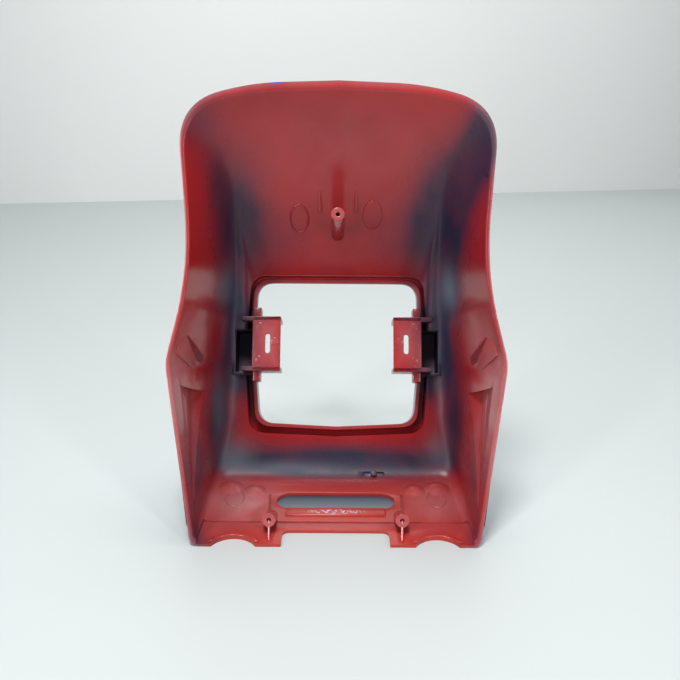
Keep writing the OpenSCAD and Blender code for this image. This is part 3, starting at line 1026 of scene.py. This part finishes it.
    def build(self) -> bpy.types.Object:
        """Builds the shell and cuts all openings."""
        shell = Skin().build()
        for side in (-1, 1):
            pad = settle(self.wedge(side, 4, SIZES.wall + self.pocket_edge + 0.6, -1), "pad")
            apply_modifier(shell, "BOOLEAN", operation="UNION", object=pad, solver="EXACT")
            bpy.data.objects.remove(pad, do_unlink=True)
        for tool in self.cutters():
            cut(shell, tool)
        soften_cuts(shell)
        smooth(shell, 30)
        return shell


@dataclass
class Posts:
    """Two ribbed screw posts on the floor and one in the hood."""

    diameter: float = 9.8
    bore: float = 3.2
    bore_depth: float = 16.0
    spacing: float = 97.0
    rib: float = 1.8
    floor_behind: float = 15.0
    floor_rise: float = 12.5
    floor_length: float = 26.0
    floor_rib_end: float = 51.0
    splay: float = 4.0
    hood_behind: float = 78.0
    hood_rise: float = 224.0
    hood_length: float = 54.0
    hood_ribs_apart: float = 27.4

    def post(self, x: float, y: float, z: float, length: float, name: str) -> bpy.types.Object:
        """One post with its bore.

        Args:
            x: Place of its rear end across the body.
            y: Place of its rear end from the rear edge.
            z: Height of its rear end.
            length: Its length.
            name: Its name.

        Returns:
            The post, in its place.
        """
        body = rod(self.diameter / 2, -length, 0, 56)
        hollow(body, self.diameter / 2 - self.bore / 2, self.bore_depth)
        soften(body, 0.35, 3)
        return settle(body, name, at_draw(x, y, z))

    def floor_pair(self) -> list[bpy.types.Object]:
        """Both floor posts with their ribs."""
        pieces = []
        for side in (-1, 1):
            x = side * self.spacing / 2
            body = self.post(x, self.floor_behind, self.floor_rise, self.floor_length, "post")
            under = settle(block((40, 60, 20), (x, 30, -8.8)), "under")
            cut(body, under)
            end = self.floor_rib_end
            rib = prism([(-11, 1.5), (-11, 3), (-2, 8.6), (5, 14), (end, 3.3), (end, 1.5)],
                        0, self.rib)
            soften(rib, 0.4, 2)
            turn = Matrix.Rotation(math.radians(-side * self.splay), 4, "Z")
            settle(rib, "rib", Matrix.Translation((x, self.floor_behind, 0)) @ turn)
            pieces.append(join([body, rib]))
            pieces[-1].name = f"floor_post_{Side(side).word}"
        return pieces

    def hood_group(self) -> bpy.types.Object:
        """The hood's post with the two small ribs beside it."""
        body = self.post(0, self.hood_behind, self.hood_rise, self.hood_length, "hood_post")
        ribs = []
        for side in (-1, 1):
            h = SIZES.hood_y
            rib = prism([(h(217) + 1.5, 217), (h(218) - 3.2, 218.5), (h(235) - 0.5, 235),
                         (h(237) + 1.5, 237)], side * self.hood_ribs_apart / 2, self.rib)
            soften(rib, 0.4, 2)
            ribs.append(settle(rib, "hood_rib"))
        return join([body, *ribs])


@dataclass
class Bracket:
    """A slotted plate on two ribs that holds the lamp, with the deep pocket beside it."""

    side: int
    reach: float = 56.5
    width: float = 22.5
    stand: float = 24.0
    pocket_start: float = 17.0

    def build(self) -> bpy.types.Object:
        """Builds plate, ribs, stalks and pocket."""
        side, w, h = self.side, self.width, SIZES.bracket_height
        place = at_draw(side * self.reach, SIZES.bracket_depth, SIZES.bracket_rise)
        plate = block((w, h, 3), (0, 0, -1.5))
        slot = Shell().rounded(block((3.8, 15.5, 12), (-side * 1.0, 0, 0)), 1.85)
        cut(plate, slot)
        soften(plate, 0.5, 3)
        pieces = [settle(plate, "plate", place)]
        far = SIZES.lamp_half + 10 - self.reach
        for edge in (-1, 1):
            rib = block((far + w / 2, 3.6, self.stand),
                        (side * (far - w / 2) / 2, edge * (h / 2 - 1.8), -self.stand / 2))
            soften(rib, 0.5, 2)
            pieces.append(settle(rib, "rib", place))
            stalk = block((6, 10, 13), (side * (SIZES.lamp_half - self.reach - 2), edge * 25, -11.5))
            soften(stalk, 0.6, 2)
            pieces.append(settle(stalk, "stalk", place))
        for x, y in ((5.5, 14), (5.5, -13), (-6.5, 2)):
            mark = rod(3.0, -1, 0.25, 32)
            soften(mark, 0.2, 2)
            pieces.append(settle(mark, "mark", place @ Matrix.Translation((side * x, y, 0))))
        s = SIZES
        begin = -self.pocket_start
        deep = s.tub_deep + s.tub_wall - self.pocket_start
        tub = block((s.tub_width + 2 * s.tub_wall, s.tub_height + 2 * s.tub_wall, deep),
                    (0, s.tub_shift, begin - deep / 2))
        hollow(tub, s.tub_wall, deep - s.tub_wall)
        soften(tub, 0.5, 2)
        paint = tub.data.attributes.new("outside", "FLOAT", "POINT")
        for k, v in enumerate(tub.data.vertices):
            beyond = max(abs(v.co.x) - s.tub_width / 2, abs(v.co.y - s.tub_shift) - s.tub_height / 2)
            deepest = v.co.z < begin - deep + s.tub_wall / 2
            paint.data[k].value = float(deepest or (beyond > 0.6 and v.co.z < begin - deep / 2))
        pieces.append(settle(tub, "tub", beside_lamp(side)))
        bracket = join(pieces)
        bracket.name = f"lamp_bracket_{Side(side).word}"
        return bracket


@dataclass
class Marks:
    """Oval pads, the lip of the slot, the flares of the notches and the slit's nub."""

    oval_length: float = 24.5
    oval_width: float = 15.0

    def ring(self, matrix: Matrix, name: str) -> bpy.types.Object:
        """A raised oval line."""
        deselect()
        bpy.ops.mesh.primitive_torus_add(major_segments=72, minor_segments=12, major_radius=1,
                                         minor_radius=0.08, location=(0, 0, 0))
        obj = bpy.context.object
        for v in obj.data.vertices:
            angle = math.atan2(v.co.y, v.co.x)
            away = v.co.xy.length - 1
            v.co = (math.cos(angle) * (self.oval_width / 2 - 0.6 + away * 8),
                    math.sin(angle) * (self.oval_length / 2 - 0.6 + away * 8), v.co.z * 9)
        return settle(obj, name, matrix)

    def pad(self, matrix: Matrix, name: str) -> bpy.types.Object:
        """A raised plain oval."""
        obj = rod(1, -1.5, 0.8, 72)
        obj.data.transform(Matrix.Diagonal((self.oval_width / 2, self.oval_length / 2, 1, 1)))
        soften(obj, 0.5, 3)
        return settle(obj, name, matrix)

    def dome(self, x: float, y: float, radius: float, high: float, name: str) -> bpy.types.Object:
        """A low round hump on the floor.

        Args:
            x: Place of its middle across the body.
            y: Place of its middle from the rear edge.
            radius: Its radius.
            high: Its height.
            name: Its name.

        Returns:
            The hump, in its place.
        """
        deselect()
        bpy.ops.mesh.primitive_uv_sphere_add(segments=48, ring_count=24, radius=1,
                                             location=(0, 0, 0))
        obj = bpy.context.object
        for v in obj.data.vertices:
            rise = (1 - min(1.0, v.co.xy.length) ** 2) ** 1.6
            v.co = (v.co.x * radius, v.co.y * radius,
                    high * rise if v.co.z > 0 else -1.5 * rise)
        return settle(obj, name, Matrix.Translation((x, y, SIZES.wall - 0.2)))

    def build(self) -> list[bpy.types.Object]:
        """Builds all marks."""
        pieces = [self.ring(on_hood(-29.5, 213), "oval_left"),
                  self.pad(on_hood(26.5, 216), "oval_right"),
                  self.ring(Matrix.Translation((-79, 60, 3)), "floor_oval_left"),
                  self.ring(Matrix.Translation((79, 60, 3)), "floor_oval_right")]
        pieces += [self.dome(x, y, radius, high, f"floor_hump_{k + 1}")
                   for k, (x, y, radius, high) in enumerate(HUMPS)]
        lip = block((76, 10.5, 3), (0, 40.2, 2.9))
        soften(lip, 1.2, 4)
        pieces.append(settle(lip, "slot_lip"))
        for side in (-1, 1):
            flare = rod(21.0, 1.5, 3.9, 96)
            cut(flare, rod(18.1, 0, 6, 96))
            cut(flare, block((60, 40, 20), (0, -20 + 10.5, 0)))
            soften(flare, 0.6, 3)
            pieces.append(settle(flare, f"notch_flare_{Side(side).word}",
                                 Matrix.Translation((side * 73, -8.5, 0))))
        nub = rod(2.5, -1.5, 4, 40)
        soften(nub, 0.7, 3)
        pieces.append(settle(nub, "slit_nub", on_floor_fold(SLIT_SIDE)))
        return pieces


# Studio
@dataclass(frozen=True)
class SoftLight:
    """A soft square or strip light, placed and aimed in metres."""

    name: str
    place: tuple[float, float, float]
    aim: tuple[float, float, float]
    size: float
    power: float
    tall: float = 0.0

    def build(self) -> None:
        """Hangs the light up."""
        data = bpy.data.lights.new(self.name, "AREA")
        data.energy = self.power
        data.shape = "RECTANGLE"
        data.size = self.size
        data.size_y = self.tall or self.size
        obj = bpy.data.objects.new(self.name, data)
        bpy.context.collection.objects.link(obj)
        obj.location = self.place
        way = Vector(self.aim) - Vector(self.place)
        obj.rotation_euler = way.to_track_quat("-Z", "Y").to_euler()


@dataclass
class Studio:
    """Pale table and wall, soft lights and the camera."""

    camera_back: float = 447.0
    camera_high: float = 315.0
    pitch: float = 19.5
    focal_pixels: float = 740.0
    roll: float = 0.5
    turn: float = 0.25

    def plane(self, name: str, size: Sequence[float], matrix: Matrix,
              finish: StageFinish) -> None:
        """A flat piece of the stage.

        Args:
            name: Its name.
            size: Its width and depth in metres.
            matrix: Its place.
            finish: Its finish.
        """
        deselect()
        bpy.ops.mesh.primitive_plane_add(size=1, location=(0, 0, 0))
        obj = bpy.context.object
        obj.data.transform(matrix @ Matrix.Diagonal((size[0], size[1], 1, 1)))
        obj.name = name
        obj.data.materials.append(finish.build())

    def build(self) -> None:
        """Builds the stage, lights, world and camera."""
        self.plane("table", (9, 9), Matrix.Translation((0, 0, 0)),
                   StageFinish("table_white", (0.50, 0.54, 0.535), 0.5, SLOT_SHADE))
        wall = (Matrix.Translation((0.095, 1.60, 1.5)) @ Matrix.Rotation(math.radians(11.3), 4, "Z")
                @ Matrix.Rotation(math.radians(90), 4, "X"))
        self.plane("wall", (7, 3.2), wall, StageFinish("wall_white", (0.80, 0.81, 0.80), 0.7))
        for light in LIGHTS:
            light.build()
        world = bpy.data.worlds.new("studio_air")
        world.use_nodes = True
        world.node_tree.nodes["Background"].inputs[0].default_value = (0.92, 0.95, 1.0, 1)
        world.node_tree.nodes["Background"].inputs[1].default_value = 0.20
        bpy.context.scene.world = world
        data = bpy.data.cameras.new("studio_camera")
        data.sensor_width = 36
        data.lens = self.focal_pixels / 680 * 36
        data.clip_start = 0.01
        camera = bpy.data.objects.new("studio_camera", data)
        bpy.context.collection.objects.link(camera)
        place = Matrix.Translation((0, -(self.camera_back + SIZES.shift) * MM,
                                    self.camera_high * MM))
        camera.matrix_world = (place @ Matrix.Rotation(math.radians(-self.turn), 4, "Z")
                               @ Matrix.Rotation(math.radians(90 - self.pitch), 4, "X")
                               @ Matrix.Rotation(math.radians(self.roll), 4, "Z"))
        bpy.context.scene.camera = camera
        bpy.context.scene.view_settings.view_transform = "Standard"


def pair(x: float, y: float, z: float, reach: Sequence[float], left: float,
         right: float) -> list[Patch]:
    """Two mirrored patches.

    Args:
        x: Distance of their middles from the middle plane.
        y: Place of their middles from the rear edge.
        z: Height of their middles.
        reach: How far they reach along x, y and z.
        left: Strength of the left one.
        right: Strength of the right one.

    Returns:
        Both patches, left first.
    """
    return [Patch(-x, y, z, *reach, left), Patch(x, y, z, *reach, right)]


# Blue overspray in the folds, with painted shade added in the deep pockets beside the brackets.
OVERSPRAY_AND_SHADE: list[Patch] = [
    Patch(-74, 112, 208, 20, 34, 46, 1.25), Patch(76, 112, 205, 22, 34, 54, 1.6),
    Patch(-44, 116, 196, 22, 18, 20, 0.55), Patch(46, 116, 194, 22, 18, 20, 0.6),
    *pair(84, 120, 150, (12, 26, 26), 0.75, 0.8), *pair(84, 112, 96, (15, 24, 26), 0.75, 1.0),
    Patch(0, 97, 14, 94, 12, 13, 1.9), *pair(96, 96, 52, (12, 24, 30), 1.1, 1.1),
    *pair(104, 34, 40, (8, 22, 40), 0.8, 0.6), Patch(103, 72, 285, 12, 18, 28, 1.0),
    Patch(-98, 84, 290, 14, 18, 22, 0.6), Patch(0, 118, 205, 8, 16, 7, 0.6),
    Patch(101, 62, 230, 12, 26, 46, 0.18), Patch(98, 84, 268, 15, 18, 30, 0.9),
    Patch(90, 98, 243, 14, 17, 28, 1.0), Patch(-90, 98, 248, 12, 15, 26, 0.5),
    *pair(78, 140, 100, (12, 28, 30), 2.0, 2.0), Patch(-97, 6, 6, 9, 14, 16, 1.0),
    Patch(97, 8, 6, 7, 12, 14, 0.7), *pair(76, 128, 106, (9, 24, 26), 1.6, 1.6)]
# Painted light on the floor: a brighter, warmer red where the top light falls.
PAINTED_FLOOR_LIGHT: list[Patch] = [
    Patch(0, 52, 2, 110, 42, 12, 0.75), Patch(0, 5, 2, 110, 25, 10, 0.7)]
# Painted sheen patches: pinkish-grey highlights standing for reflected light.
PAINTED_SHEEN: list[Patch] = [
    *pair(113, 38, 112, (12, 24, 18), 0.7, 0.7), *pair(110, 36, 64, (7, 24, 42), 0.7, 0.8),
    *pair(56, 112, 115, (16, 20, 27), 0.5, 0.3), Patch(-74, 52, 3, 26, 26, 8, 0.9),
    Patch(78, 52, 3, 24, 24, 8, 0.6), *pair(104, 74, 140, (12, 26, 22), 0.3, 0.3),
    *pair(48, 13, 12, (8, 8, 8), 0.5, 0.5), Patch(0, 76, 225, 8, 7, 8, 0.4),
    Patch(0, 104, 268, 95, 30, 42, 0.17)]
SLOT_SHADE = Patch(0, 57, 0, 47, 12, 1, 1.0)
# Painted blue-grey reflections in the waist and floor folds.
PAINTED_REFLECTION: list[Patch] = [
    Patch(-90, 116, 158, 9, 14, 15, 0.5), Patch(90, 116, 158, 9, 14, 17, 1.0),
    Patch(-84, 100, 18, 16, 14, 14, 0.75), Patch(84, 100, 24, 10, 12, 14, 0.5),
    Patch(-45, 97, 9, 45, 5, 5, 0.5), Patch(-97, 98, 62, 6, 14, 24, 0.6)]
CHALK = Patch(0, 39.5, 4.2, 25, 3.6, 2.4, 0.9)
BLOB = Patch(-43, 84, 313, 7.5, 7, 2.6, 1.0)
# Painted shade of a small pit; no pit is modelled.
PAINTED_PIT_SHADE = Patch(102.6, 71.9, 252.3, 1.5, 3.5, 1.8, 1.0)
HUMPS: tuple[tuple[float, float, float, float], ...] = (
    (-85, 76, 12.0, 4.2), (-65, 71, 10.0, 3.6), (63, 73, 10.0, 3.6), (81, 76, 12.0, 4.2))
LIGHTS: tuple[SoftLight, ...] = (
    SoftLight("top_softbox", (-0.12, -0.38, 1.2), (0, 0.02, 0.05), 0.26, 10.5),
    SoftLight("left_strip", (-0.62, -0.85, 0.42), (0, 0, 0.16), 0.12, 5, 0.7),
    SoftLight("right_strip", (0.62, -0.85, 0.42), (0, 0, 0.16), 0.10, 4, 0.7),
    SoftLight("wall_light", (0.2, 0.6, 2.0), (0.2, 1.7, 0.5), 1.2, 23),
    SoftLight("table_light", (0.25, 0.7, 1.6), (0.2, 0.4, 0.0), 1.3, 6))


def main() -> None:
    """Builds the fairing and its studio."""
    logging.basicConfig(level=logging.INFO, format="%(name)s %(message)s")
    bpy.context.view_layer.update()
    dresser = Dresser(MouldedPlastic().build(), OVERSPRAY_AND_SHADE, PAINTED_REFLECTION, PAINTED_FLOOR_LIGHT, PAINTED_SHEEN)
    shell = Shell().build()
    dresser.dress(shell)
    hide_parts("fairing")
    posts = Posts()
    steps = [Shell().hip_step(side) for side in (-1, 1)]
    for piece in (*posts.floor_pair(), posts.hood_group(), Bracket(-1).build(),
                  Bracket(1).build(), *steps, *Marks().build()):
        smooth(piece)
        dresser.dress(piece)
    Studio().build()


if __name__ == "__main__":
    main()
